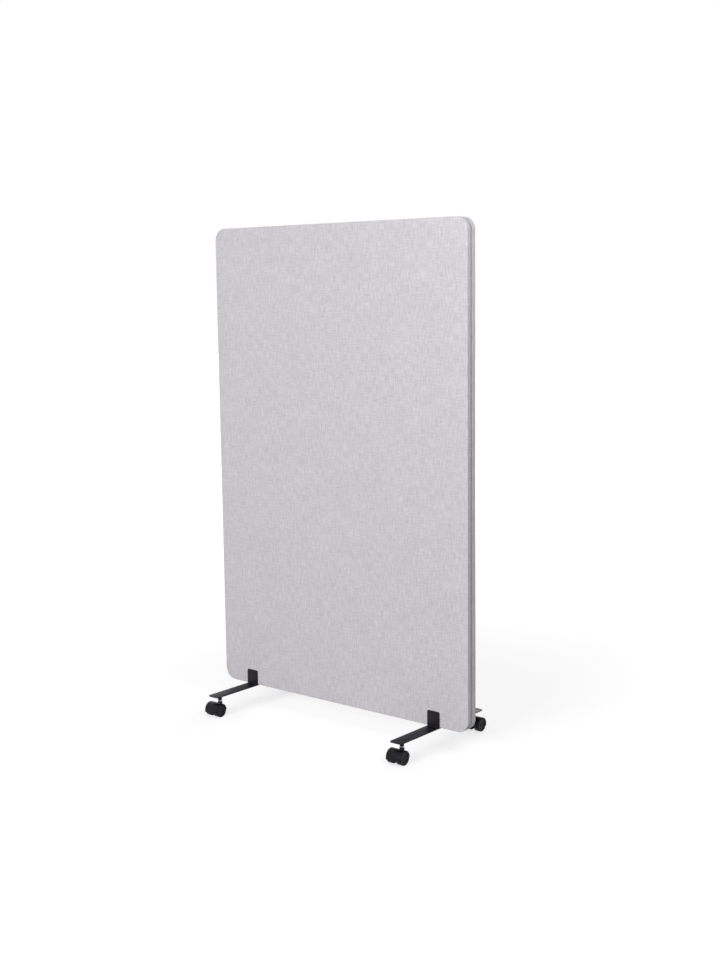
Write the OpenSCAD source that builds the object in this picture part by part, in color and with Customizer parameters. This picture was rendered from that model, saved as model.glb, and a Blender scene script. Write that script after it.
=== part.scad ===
// Rolling office partition: an upholstered acoustic panel made of two fabric
// covered halves round a timber frame, on two flat-bar feet with hooded
// twin-wheel casters. Millimetres, floor at z = 0, front face towards -Y.

/* [Panel] */
// Width of the upholstered panel
panel_w = 1000; // [900:10:1200]
// Height of the upholstered panel
panel_h = 1500; // [1200:10:1800]
// Thickness over both fabric faces
panel_t = 40; // [38:1:50]
// Corner radius of the panel's outline
corner_r = 38; // [30:1:60]
// Radius of the padded edge where a face turns into the side
edge_r = 2; // [1.5:0.5:5]

/* [Seam groove round the edge] */
// Width of the groove between the two halves
groove_w = 9; // [7:0.5:12]
// Depth of the groove below the panel's side
groove_d = 7; // [5:0.5:9]
// Radius of each half's lip where it turns into the groove
lip_r = 1.8; // [1.2:0.1:2.6]
// Gap between the two fabric hems at the bottom of the groove
hem_gap = 0.6; // [0.3:0.1:1.5]

/* [Panel layers] */
// Thickness of the timber frame and the acoustic core
frame_t = 20; // [18:1:24]
// Thickness of each hardboard face
board_t = 3; // [2.5:0.5:4]
// Thickness of the woven cover
fabric_t = 0.8; // [0.6:0.1:1.1]

/* [Timber frame] */
// Width of each stile
stile_w = 50; // [40:1:80]
// Height of the top rail
top_rail_h = 50; // [40:1:80]
// Height of the bottom rail, which takes the foot screws
bottom_rail_h = 80; // [60:1:110]
// Gap round the acoustic core
core_gap = 0.5; // [0.3:0.1:2]
// Diameter of the dowels in the frame's corner joints
dowel_d = 8; // [6:0.5:10]
// Length of a dowel
dowel_l = 40; // [30:1:50]
// Distance between the two dowels of a joint
dowel_pitch = 24; // [16:1:30]

/* [Feet] */
// Distance from the panel's side to a foot's centre line
foot_inset = 125; // [100:5:200]
// Width of the flat bar
foot_w = 45; // [40:1:60]
// Length of the flat bar, front to back
foot_l = 418; // [410:2:500]
// Thickness of the flat bar
foot_t = 3; // [2.5:0.5:6]
// Corner radius of the bar's ends
foot_corner_r = 10; // [5:1:18]
// Height of an upright above the bar
upright_h = 48; // [40:1:80]
// Thickness of an upright
upright_t = 3; // [2.5:0.5:5]
// Corner radius at the top of an upright
upright_corner_r = 5; // [3:0.5:10]
// Leg of the weld bead along an upright's base
weld_leg = 2.2; // [1.5:0.1:3]

/* [Foot screws] */
// Diameter of the foot screws
screw_d = 6; // [5:0.5:8]
// Length of a screw under its head
screw_l = 24; // [20:1:26]
// Distance between a foot's two screws
screw_spacing = 24; // [20:1:28]
// Diameter of the button head
head_d = 10.5; // [10:0.5:13]
// Height of the button head
head_h = 3.3; // [2.8:0.1:4]
// Width across flats of the hex socket
key_af = 4; // [3:0.5:5]
// Depth of the hex socket
key_depth = 1.8; // [1.2:0.1:2.4]
// Outer diameter of the threaded insert
insert_d = 10; // [9:0.5:12]
// Length of the threaded insert
insert_l = 15; // [12:1:20]

/* [Caster stem] */
// Distance from a bar's end to the caster's stem
stem_inset = 33; // [16:1:45]
// Diameter of the thread and of the pintle
stem_d = 8; // [6:0.5:9]
// Diameter of the threaded boss under the bar
boss_d = 13; // [12:0.5:18]
// Height of the threaded boss under the bar
boss_h = 15.5; // [8:0.5:20]
// Width across flats of the stem's hexagon
hex_af = 13; // [11:0.5:14]
// Height of the stem's hexagon
hex_h = 3; // [2.5:0.5:5]
// Wall round the pintle in the hood's socket
socket_wall = 3.5; // [3:0.1:3.7]
// Rise of the socket above the top of the hood
neck_rise = 0.8; // [0.4:0.2:8]
// Depth of the pintle's tip below the top of the wheels
pintle_reach = 18; // [14:1:22]
// Thickness of the snap ring
ring_t = 1.2; // [0.8:0.1:1.6]
// Width of the snap ring's section across its radius
ring_w = 1.2; // [1:0.1:1.4]
// Height of the snap ring above the pintle's tip
ring_rise = 5; // [4:0.5:8]

/* [Caster wheels] */
// Diameter of a wheel
wheel_d = 42; // [38:1:50]
// Width of a wheel
wheel_w = 18; // [16:0.5:21]
// Gap between the two wheels of a caster
wheel_gap = 18; // [16:0.5:21]
// Distance from the stem to the axle
trail = 20; // [17:0.5:26]
// Diameter of the axle
axle_d = 5; // [4:0.5:6]
// Depth of the axle in a wheel's hub
axle_grip = 13; // [10:0.5:14]
// Outer diameter of a wheel's hub
hub_d = 10; // [8.5:0.5:13]
// Thickness of the tread's wall
tread_t = 2.6; // [2:0.1:4]
// Radius of the tread's outer shoulder
shoulder_r = 2; // [1:0.1:2.5]
// Width of the raised rim round the outer face
rim_w = 3; // [2:0.5:5]
// Depth of the face inside the raised rim
dish_d = 1.5; // [0.8:0.1:2.2]
// Thickness of the wheel's disc
disc_t = 2; // [1.4:0.1:2.6]
// Number of ribs inside a wheel
wheel_ribs = 8; // [5:1:12]
// Thickness of a rib
rib_t = 1.2; // [0.8:0.1:1.8]

/* [Caster hood] */
// Clearance between a tread and the hood
hood_gap = 0.8; // [0.5:0.1:1.5]
// Thickness of the hood's shell
hood_wall = 1.6; // [1.2:0.1:2.2]
// Distance from a wheel's outer face in to the hood's edge
hood_inset = 0.5; // [0:0.25:3]
// Radius along the hood's outer edges
hood_edge_r = 1.1; // [0.6:0.1:1.2]
// Drop of the hood's trailing edge below the axle
skirt_drop = 7; // [3:0.5:10]
// Thickness of the web between the wheels
web_t = 4; // [3:0.5:8]
// Outer diameter of the boss that holds the axle
axle_boss_d = 12; // [10:0.5:14]

/* [Clearances] */
// Radial clearance of a running fit
run_gap = 0.07; // [0.03:0.01:0.1]
// Radial clearance of a fixed pin or screw
fix_gap = 0.05; // [0.02:0.01:0.1]
// Gap between pieces that turn past each other
turn_gap = 0.4; // [0.3:0.05:0.6]
// Gap between the stem's hexagon and the hood's neck
neck_gap = 0.3; // [0.2:0.05:0.6]

/* [Hidden] */
$fn = 64;
arc_n = 6;                                  // segments in a small profile arc
half_t = panel_t/2;
inset = groove_d + fabric_t;                // panel side to timber frame
core_w = panel_w - 2*inset;                 // outline of the frame and boards
core_h = panel_h - 2*inset;
core_r = corner_r - inset;
board_z = frame_t/2 + board_t;              // outer face of a hardboard
wheel_r = wheel_d/2;
hood_in_r = wheel_r + hood_gap;
hood_r = hood_in_r + hood_wall;
hood_w = wheel_gap + 2*wheel_w - 2*hood_inset;
body_w = wheel_gap - 2*turn_gap;            // hood's bosses, between the wheels
socket_d = stem_d + 2*run_gap + 2*socket_wall;
neck_z = wheel_r + hood_r + neck_rise;      // top of the hood's neck
hex_z = neck_z + neck_gap;
boss_z = hex_z + hex_h;
foot_z = boss_z + boss_h;                   // underside of the flat bar
panel_z = foot_z + foot_t;                  // underside of the panel
pintle_z = wheel_d - pintle_reach;          // tip of the pintle
socket_floor = 2;                           // material and air under the tip
end_gap = 0.4;                              // free length at the end of a pin
foot_spacing = panel_w - 2*foot_inset;      // between the two feet's centre lines
stem_y = foot_l/2 - stem_inset;             // from the panel's middle plane
dowel_hole_l = dowel_l + 1;                 // the two holes of one dowel
past = 1;                                   // how far a cutter runs past a face
ring_z = pintle_z + ring_rise;
ring_in_r = stem_d/2 - ring_w/2;
hole_clear = 0.3;                           // radial, screw in the bar's hole
hub_end = wheel_w - dish_d - disc_t;        // where a wheel's hollow ends
axle_l = wheel_gap + 2*axle_grip;
fabric_grey = [0.77, 0.765, 0.785];
board_brown = [0.55, 0.42, 0.3];
timber = [0.86, 0.73, 0.53];
powder_black = [0.12, 0.12, 0.13];
nylon_black = [0.15, 0.15, 0.16];
zinc = [0.72, 0.73, 0.74];

// ---- shared shapes ----

// Points of an arc round c from angle a to angle b
function arc(c, r, a, b) =
    [for (i = [0:arc_n]) c + r*[cos(a + (b - a)*i/arc_n), sin(a + (b - a)*i/arc_n)]];

// Rectangle with round corners, centred, as an outline
module round_rect(w, h, r) {
    square([w - 2*r, h], center = true);
    square([w, h - 2*r], center = true);
    for (x = [-1, 1], y = [-1, 1]) translate([x*(w/2 - r), y*(h/2 - r)]) circle(r);
}

// A profile swept round a rectangle w x h with corner radius r. The profile's
// x runs outwards from the corner's centre, its y along the thickness.
module sweep_round(w, h, r) {
    for (s = [[0, w, h], [90, h, w], [180, w, h], [270, h, w]]) rotate(s[0]) {
        translate([s[1]/2 - r, 0, 0])
            rotate([90, 0, 0]) linear_extrude(s[2] - 2*r, center = true) children();
        translate([s[1]/2 - r, s[2]/2 - r, 0]) rotate_extrude(angle = 90) children();
    }
}

// From the panel's own plane (thickness along z) to its place above the feet
module in_panel() {
    translate([0, 0, panel_z + panel_h/2]) rotate([90, 0, 0]) children();
}

// The rear copy of a piece drawn for the front
module facing(side) {
    mirror([0, side == "rear" ? 1 : 0, 0]) children();
}

// ---- panel ----

// Section of the cover: face, padded edge, side, lip, groove wall and hem
function cover_section() = let (
    g = groove_w/2, t = fabric_t, r = corner_r, h = hem_gap/2,
    edge = [r - edge_r, half_t - edge_r], lip = [r - lip_r, g + lip_r]
) concat(
    [[0, half_t]], arc(edge, edge_r, 90, 0), arc(lip, lip_r, 0, -90),
    [[r - groove_d, g], [r - groove_d, h], [r - inset, h], [r - inset, g + t]],
    arc(lip, lip_r - t, -90, 0), arc(edge, edge_r - t, 0, 90), [[0, half_t - t]]
);

// Section of the foam: it pads the board's face and wraps the frame's edge
function foam_section() = let (
    g = groove_w/2, t = fabric_t, r = corner_r,
    edge = [r - edge_r, half_t - edge_r], lip = [r - lip_r, g + lip_r]
) concat(
    [[0, board_z], [r - inset, board_z], [r - inset, g + t]],
    arc(lip, lip_r - t, -90, 0), arc(edge, edge_r - t, 0, 90), [[0, half_t - t]]
);

module padded_half(section, low, high) {
    sweep_round(panel_w, panel_h, corner_r) polygon(section);
    translate([0, 0, (low + high)/2])
        cube([panel_w - 2*corner_r, panel_h - 2*corner_r, high - low], center = true);
}

module cover(side) {
    color(fabric_grey) difference() {
        facing(side) in_panel() padded_half(cover_section(), half_t - fabric_t, half_t);
        for (foot = [-1, 1]) at_foot_screws(foot) translate([0, 0, panel_z - past])
            cylinder(d = screw_d + 2*hole_clear, h = inset + 2*past);
    }
}

module foam(side) {
    color("ivory") facing(side) in_panel()
        padded_half(foam_section(), board_z, half_t - fabric_t);
}

module board(side) {
    color(board_brown) facing(side) in_panel() translate([0, 0, frame_t/2])
        linear_extrude(board_t) round_rect(core_w, core_h, core_r);
}

// Height of the middle of the top or bottom rail in the panel's own plane
function rail_y(end) = end == "top" ? core_h/2 - top_rail_h/2 : -core_h/2 + bottom_rail_h/2;

// Every dowel's place: x of the joint, y of the dowel
function dowel_spots() = [
    for (x = [-1, 1], end = ["top", "bottom"], y = [-1, 1])
        [x*(core_w/2 - stile_w), rail_y(end) + y*dowel_pitch/2]
];

module dowel_set(d, l) {
    for (p = dowel_spots()) translate([p[0], p[1], 0])
        rotate([0, 90, 0]) cylinder(d = d, h = l, center = true);
}

// Places of the screws in the bottom edge of the bottom rail
module at_foot_screws(side) {
    for (x = [-1, 1]) translate([side*foot_spacing/2 + x*screw_spacing/2, 0, 0]) children();
}

module frame_rail(end) {
    length = core_w - 2*stile_w;
    height = end == "top" ? top_rail_h : bottom_rail_h;
    color(timber) difference() {
        in_panel() difference() {
            translate([0, rail_y(end), 0]) cube([length, height, frame_t], center = true);
            dowel_set(dowel_d + 2*fix_gap, dowel_hole_l);
        }
        if (end == "bottom") for (side = [-1, 1]) at_foot_screws(side)
            translate([0, 0, panel_z + inset - past])
                cylinder(d = insert_d + 2*fix_gap, h = insert_l + 2*past);
    }
}

module frame_stile(side) {
    color(timber) in_panel() difference() {
        intersection() {
            translate([0, 0, -frame_t/2]) linear_extrude(frame_t) round_rect(core_w, core_h, core_r);
            translate([side*(core_w - stile_w)/2, 0, 0])
                cube([stile_w, core_h + 2*past, frame_t + 2*past], center = true);
        }
        dowel_set(dowel_d + 2*fix_gap, dowel_hole_l);
    }
}

module frame_dowels() {
    color("burlywood") in_panel() dowel_set(dowel_d, dowel_l);
}

module acoustic_core() {
    top = core_h/2 - top_rail_h - core_gap;
    bottom = -core_h/2 + bottom_rail_h + core_gap;
    color("lightslategray") in_panel() translate([0, (top + bottom)/2, 0])
        cube([core_w - 2*stile_w - 2*core_gap, top - bottom, frame_t], center = true);
}

// ---- feet ----

module foot_inserts(side) {
    color("goldenrod") at_foot_screws(side) translate([0, 0, panel_z + inset]) difference() {
        cylinder(d = insert_d, h = insert_l);
        translate([0, 0, -past]) cylinder(d = screw_d + 2*fix_gap, h = insert_l + 2*past);
    }
}

module foot_bar(side) {
    color(powder_black) difference() {
        translate([side*foot_spacing/2, 0, foot_z])
            linear_extrude(foot_t) round_rect(foot_w, foot_l, foot_corner_r);
        at_foot_screws(side) translate([0, 0, foot_z - past])
            cylinder(d = screw_d + 2*hole_clear, h = foot_t + 2*past);
    }
}

// A flat tab on the panel's face, welded along its base to the bar
module foot_upright(side, face) {
    color(powder_black) facing(face) translate([side*foot_spacing/2, -half_t, panel_z]) {
        rotate([90, 0, 0]) linear_extrude(upright_t) {
            translate([-foot_w/2, 0]) square([foot_w, upright_h - upright_corner_r]);
            translate([-foot_w/2 + upright_corner_r, 0])
                square([foot_w - 2*upright_corner_r, upright_h]);
            for (x = [-1, 1])
                translate([x*(foot_w/2 - upright_corner_r), upright_h - upright_corner_r])
                    circle(upright_corner_r);
        }
        translate([0, -upright_t, 0]) rotate([90, 0, 90])
            linear_extrude(foot_w, center = true) intersection() {
                circle(weld_leg);
                translate([-weld_leg, 0]) square(weld_leg);
            }
    }
}

// Button-head screws from below the bar, one on each side of the middle
module foot_screws(side) {
    color(zinc) at_foot_screws(side) translate([0, 0, foot_z]) difference() {
        union() {
            cylinder(d = screw_d, h = screw_l);
            rotate([180, 0, 0]) rotate_extrude() polygon(concat(
                [[0, 0], [head_d/2, 0]],
                arc([head_d/2 - head_h, 0], head_h, 15, 80), [[0, head_h]]));
        }
        translate([0, 0, -head_h - past])
            cylinder(d = key_af/cos(30), h = key_depth + past, $fn = 6);
    }
}

module at_stems(side) {
    for (y = [-1, 1]) translate([side*foot_spacing/2, y*stem_y, 0]) children();
}

module caster_bosses(side) {
    color(powder_black) at_stems(side) translate([0, 0, boss_z]) difference() {
        cylinder(d = boss_d, h = boss_h);
        translate([0, 0, -past]) cylinder(d = stem_d + 2*fix_gap, h = boss_h + 2*past);
    }
}

// ---- casters, drawn with the stem on the z axis and the axle towards -Y ----

// Place of one caster: the rear ones trail backwards
module at_caster(row, side) {
    translate([side*foot_spacing/2, row == "front" ? -stem_y : stem_y, 0])
        rotate(row == "front" ? 0 : 180) children();
}

// From a wheel's own axis (z, outwards) to the axle, x being -1 or 1
module on_axle(x) {
    translate([0, -trail, wheel_r]) rotate([0, 90*x, 0]) children();
}

module caster_stem() {
    tip = 1;
    color(zinc) difference() {
        union() {
            translate([0, 0, hex_z]) cylinder(d = hex_af/cos(30), h = hex_h, $fn = 6);
            translate([0, 0, pintle_z + tip])
                cylinder(d = stem_d, h = foot_z - end_gap - pintle_z - tip);
            translate([0, 0, pintle_z]) cylinder(d1 = stem_d - 2*tip, d2 = stem_d, h = tip);
        }
        translate([0, 0, ring_z]) rotate_extrude()
            translate([ring_in_r - fix_gap, -fix_gap]) square([ring_w + past, ring_t + 2*fix_gap]);
    }
}

module snap_ring() {
    color("dimgray") translate([0, 0, ring_z]) rotate(100) rotate_extrude(angle = 320)
        translate([ring_in_r, 0]) square([ring_w, ring_t]);
}

module axle() {
    chamfer = 0.6;
    color("silver") on_axle(1) for (z = [-1, 1]) mirror([0, 0, z < 0 ? 1 : 0]) {
        cylinder(d = axle_d, h = axle_l/2 - chamfer);
        translate([0, 0, axle_l/2 - chamfer])
            cylinder(d1 = axle_d, d2 = axle_d - 2*chamfer, h = chamfer);
    }
}

// Section of the hood's shell: x is the radius, y runs across both wheels
function hood_section() = let (w = hood_w/2, e = hood_edge_r) concat(
    [[hood_in_r, -w]], arc([hood_r - e, -w + e], e, -90, 0),
    arc([hood_r - e, w - e], e, 0, 90), [[hood_in_r, w]]
);

// Shell over both wheels, web between them, socket for the stem and axle boss
module hood() {
    color(nylon_black) difference() {
        union() {
            translate([0, -trail, wheel_r]) {
                rotate([0, 90, 0]) rotate(90) rotate_extrude(angle = 180, $fn = 96)
                    polygon(hood_section());
                rotate([180, 0, 0]) rotate([0, 0, 90])
                    linear_extrude(skirt_drop) polygon(hood_section());
                rotate([90, 0, 90]) linear_extrude(web_t, center = true) intersection() {
                    circle(hood_in_r + hood_wall/2);
                    translate([-hood_r, -skirt_drop]) square(2*hood_r);
                }
            }
            on_axle(1) cylinder(d = axle_boss_d, h = body_w, center = true);
            translate([0, 0, pintle_z - 2*socket_floor])
                cylinder(d = socket_d, h = neck_z - pintle_z + 2*socket_floor);
        }
        translate([0, 0, pintle_z - socket_floor])
            cylinder(d = stem_d + 2*run_gap, h = neck_z - pintle_z + socket_floor + past);
        translate([0, 0, ring_z - turn_gap])
            cylinder(r = ring_in_r + ring_w + turn_gap, h = ring_t + 2*turn_gap);
        on_axle(1) cylinder(d = axle_d + 2*fix_gap, h = body_w + 2*past, center = true);
    }
}

// Section of a wheel: x is the radius, y runs from the inner to the outer face
function wheel_section() = let (
    r = wheel_r, s = shoulder_r, w = wheel_w, b = axle_d/2 + run_gap,
    inner_r = 0.8, rim = wheel_r - rim_w, slope = 1, dome = 0.6*dish_d
) concat(
    [[b, 0], [hub_d/2, 0], [hub_d/2, hub_end], [r - tread_t, hub_end], [r - tread_t, 0]],
    arc([r - inner_r, inner_r], inner_r, -90, 0), arc([r - s, w - s], s, 0, 90),
    [[rim, w], [rim - slope, w - dish_d], [0, w - dish_d + dome], [0, axle_grip + end_gap],
     [b, axle_grip + end_gap]]
);

module wheel(x) {
    sink = 0.5;                             // ribs run into the walls beside them
    setback = 1;                            // and stop short of the inner face
    color(nylon_black) on_axle(x) translate([0, 0, wheel_gap/2]) {
        rotate_extrude($fn = 96) polygon(wheel_section());
        for (i = [0:wheel_ribs - 1]) rotate(i*360/wheel_ribs)
            translate([hub_d/2 - sink, -rib_t/2, setback])
                cube([wheel_r - tread_t - hub_d/2 + 2*sink, rib_t, hub_end - setback + sink]);
    }
}

frame_rail("top");  // frame_top_rail
frame_rail("bottom");  // frame_bottom_rail
frame_stile(-1);  // frame_left_stile
frame_stile(1);  // frame_right_stile
frame_dowels();
acoustic_core();
board("front");  // front_board
board("rear");  // rear_board
foam("front");  // front_foam
foam("rear");  // rear_foam
cover("front");  // front_cover
cover("rear");  // rear_cover
foot_inserts(-1);  // left_foot_inserts
foot_inserts(1);  // right_foot_inserts
foot_bar(-1);  // left_foot_bar
foot_bar(1);  // right_foot_bar
foot_upright(-1, "front");  // left_front_upright
foot_upright(-1, "rear");  // left_rear_upright
foot_upright(1, "front");  // right_front_upright
foot_upright(1, "rear");  // right_rear_upright
foot_screws(-1);  // left_foot_screws
foot_screws(1);  // right_foot_screws
caster_bosses(-1);  // left_caster_bosses
caster_bosses(1);  // right_caster_bosses
at_caster("front", -1) caster_stem();  // front_left_stem
at_caster("front", 1) caster_stem();  // front_right_stem
at_caster("rear", -1) caster_stem();  // rear_left_stem
at_caster("rear", 1) caster_stem();  // rear_right_stem
at_caster("front", -1) snap_ring();  // front_left_snap_ring
at_caster("front", 1) snap_ring();  // front_right_snap_ring
at_caster("rear", -1) snap_ring();  // rear_left_snap_ring
at_caster("rear", 1) snap_ring();  // rear_right_snap_ring
at_caster("front", -1) hood();  // front_left_hood
at_caster("front", 1) hood();  // front_right_hood
at_caster("rear", -1) hood();  // rear_left_hood
at_caster("rear", 1) hood();  // rear_right_hood
at_caster("front", -1) axle();  // front_left_axle
at_caster("front", 1) axle();  // front_right_axle
at_caster("rear", -1) axle();  // rear_left_axle
at_caster("rear", 1) axle();  // rear_right_axle
at_caster("front", -1) wheel(-1);  // front_left_outer_wheel
at_caster("front", -1) wheel(1);  // front_left_inner_wheel
at_caster("front", 1) wheel(1);  // front_right_outer_wheel
at_caster("front", 1) wheel(-1);  // front_right_inner_wheel
at_caster("rear", -1) wheel(1);  // rear_left_outer_wheel
at_caster("rear", -1) wheel(-1);  // rear_left_inner_wheel
at_caster("rear", 1) wheel(-1);  // rear_right_outer_wheel
at_caster("rear", 1) wheel(1);  // rear_right_inner_wheel
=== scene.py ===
"""Rolling office partition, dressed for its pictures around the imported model.

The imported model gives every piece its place. This script lays the woven covers
and the padding over the panel, models the painted feet and the hooded casters
with softened edges, gives every remaining piece its finish, and sets the studio.
All lengths are metres, the floor is at z = 0 and the front face looks to -Y.
"""
import sys
import logging
import math
from contextlib import contextmanager
from dataclasses import dataclass, field
from enum import Enum
from typing import Callable, Iterator, Optional, Sequence, Union

import bmesh
import bpy
from mathutils import Matrix, Vector


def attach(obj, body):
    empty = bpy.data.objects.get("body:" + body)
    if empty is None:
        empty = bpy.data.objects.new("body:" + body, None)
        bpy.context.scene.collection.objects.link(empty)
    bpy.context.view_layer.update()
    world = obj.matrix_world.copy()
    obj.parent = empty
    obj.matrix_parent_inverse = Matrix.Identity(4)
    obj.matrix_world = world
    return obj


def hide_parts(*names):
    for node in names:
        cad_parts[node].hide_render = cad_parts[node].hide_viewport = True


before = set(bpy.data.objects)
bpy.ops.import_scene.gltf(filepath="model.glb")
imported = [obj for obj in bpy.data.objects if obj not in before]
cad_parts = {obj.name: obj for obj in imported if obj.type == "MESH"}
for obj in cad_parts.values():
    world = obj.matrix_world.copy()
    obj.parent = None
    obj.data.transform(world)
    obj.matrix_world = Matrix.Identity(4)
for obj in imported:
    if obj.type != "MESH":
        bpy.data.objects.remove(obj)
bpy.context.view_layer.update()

log = logging.getLogger("partition")
MM = 0.001
WELD = 1e-6  # points closer than this are one point
HEXAGON = 1 / math.cos(math.radians(30))  # a hexagon's corner radius over half its width
WHOLE, MOST, CORE = (0.0, 1.0), (0.3, 0.7), (0.35, 0.65)  # stretches of a noise's values
X, Y, Z = Vector((1, 0, 0)), Vector((0, 1, 0)), Vector((0, 0, 1))
# Sizes that more than one sub-assembly goes by.
PANEL_BOTTOM, PANEL_HALF = 67 * MM, 20 * MM
FOOT_X, STEM_Y = 375 * MM, 176 * MM
SCREW_PITCH = 24 * MM
Colour = tuple[float, float, float]
Range = tuple[float, float]
Outline = Sequence[tuple[float, float]]
Test = Callable[[Vector, Vector], bool]
Value = Union[bpy.types.NodeSocket, float, Sequence[float]]


class Row(Enum):
    """Front or rear of the panel."""
    FRONT = "front"
    REAR = "rear"

    @property
    def sign(self) -> int:
        """The sign of this row's y."""
        return -1 if self is Row.FRONT else 1


class Side(Enum):
    """Left or right of the panel, as seen from the front."""
    LEFT = "left"
    RIGHT = "right"

    @property
    def sign(self) -> int:
        """The sign of this side's x."""
        return -1 if self is Side.LEFT else 1


class Part(Enum):
    """What is picked out in edit mode."""
    EDGES = "EDGE"
    FACES = "FACE"


class Grain(Enum):
    """The direction in which timber's fibres run."""
    ACROSS = "across"
    UPRIGHT = "upright"


def along(direction: Vector, axis: Vector) -> bool:
    """Whether a direction runs along an axis, either way."""
    return abs(direction.dot(axis)) > 0.9


def square_to(direction: Vector, axis: Vector) -> bool:
    """Whether a direction is at right angles to an axis."""
    return abs(direction.dot(axis)) < 0.1


# ---------------------------------------------------------------- finishes


class ShaderTree:
    """A material or a world under construction, with short calls to add and join nodes."""

    def __init__(self, name: str, world: bool = False) -> None:
        """Starts a material, or a world.

        Args:
            name: Its name.
            world: Whether it is a world.
        """
        kinds = bpy.data.worlds if world else bpy.data.materials
        self.made = kinds.new(name)
        self.made.use_nodes = True
        self.tree = self.made.node_tree
        self.tree.nodes.clear()
        self.output = self.node("OutputWorld" if world else "OutputMaterial")

    def node(self, kind: str, inputs: Optional[dict] = None,
             **settings: object) -> bpy.types.Node:
        """Adds a node.

        Args:
            kind: The node's type, without its "ShaderNode" prefix.
            inputs: A value or another node's output for each named input.
            **settings: Properties of the node itself.

        Returns:
            The new node.
        """
        node = self.tree.nodes.new("ShaderNode" + kind)
        for key, value in settings.items():
            setattr(node, key, value)
        for key, value in (inputs or {}).items():
            self.feed(node.inputs[key], value)
        return node

    def feed(self, socket: bpy.types.NodeSocket, value: Value) -> None:
        """Joins an output to an input, or sets the input's own value.

        Args:
            socket: The input.
            value: An output, a number or a tuple.
        """
        if isinstance(value, bpy.types.NodeSocket):
            self.tree.links.new(value, socket)
        elif socket.type == "RGBA" and len(value) == 3:
            socket.default_value = (*value, 1.0)
        else:
            socket.default_value = value

    def place(self) -> bpy.types.NodeSocket:
        """The point on the piece, in its own coordinates."""
        return self.node("TexCoord").outputs["Object"]

    def cloth_map(self, name: str) -> bpy.types.NodeSocket:
        """The point on the cloth as it lay flat, from the UV map of that name."""
        return self.node("UVMap", uv_map=name).outputs["UV"]

    def math(self, operation: str, a: Value, b: Value = 0.0) -> bpy.types.NodeSocket:
        """The result of one Math node on a and b."""
        return self.node("Math", {0: a, 1: b}, operation=operation).outputs[0]

    def scaled(self, vector: Value, *scale: float) -> bpy.types.NodeSocket:
        """The vector with each of its axes scaled."""
        return self.node("Mapping", {"Vector": vector, "Scale": scale}).outputs[0]

    def noise(self, vector: Value, scale: float, detail: float = 2.0,
              roughness: float = 0.5) -> bpy.types.NodeSocket:
        """Soft noise from 0 to 1, with as many blotches in a metre as the scale says."""
        return self.node("TexNoise", {"Vector": vector, "Scale": scale, "Detail": detail,
                                      "Roughness": roughness}).outputs[0]

    def spread(self, value: Value, source: Range, target: Range = WHOLE) -> bpy.types.NodeSocket:
        """Moves a value from one range to another.

        Args:
            value: The value.
            source: The range that it comes from.
            target: The range that it goes to, and is clamped to.

        Returns:
            The moved value.
        """
        return self.node("MapRange", {"Value": value, "From Min": source[0],
                                      "From Max": source[1], "To Min": target[0],
                                      "To Max": target[1]}).outputs[0]

    def blend(self, factor: Value, a: Value, b: Value) -> bpy.types.NodeSocket:
        """The colour between a, at factor 0, and b, at factor 1."""
        return self.node("Mix", {0: factor, 6: a, 7: b}, data_type="RGBA").outputs[2]

    def between(self, factor: Value, a: Value, b: Value) -> bpy.types.NodeSocket:
        """The number between a, at factor 0, and b, at factor 1."""
        return self.node("Mix", {0: factor, 2: a, 3: b}, data_type="FLOAT").outputs[0]

    def relief(self, height: Value, depth: float, strength: float = 1.0) -> bpy.types.NodeSocket:
        """The normal of a surface with a relief of that depth in metres."""
        return self.node("Bump", {"Strength": strength, "Distance": depth,
                                  "Height": height}).outputs[0]

    def shown(self) -> bpy.types.NodeSocket:
        """1 where the background is seen directly, mirrored or through glass, else 0."""
        rays = self.node("LightPath").outputs
        return self.math("MAXIMUM", rays["Is Camera Ray"], self.math(
            "MAXIMUM", rays["Is Glossy Ray"], rays["Is Transmission Ray"]))

    def end(self, shader: bpy.types.Node) -> Union[bpy.types.Material, bpy.types.World]:
        """Ends the tree in its last shader, which makes it ready for use."""
        self.feed(self.output.inputs["Surface"], shader.outputs[0])
        return self.made

    def finish(self, inputs: dict) -> bpy.types.Material:
        """Ends the material in the standard surface shader with these inputs."""
        return self.end(self.node("BsdfPrincipled", inputs))


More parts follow.
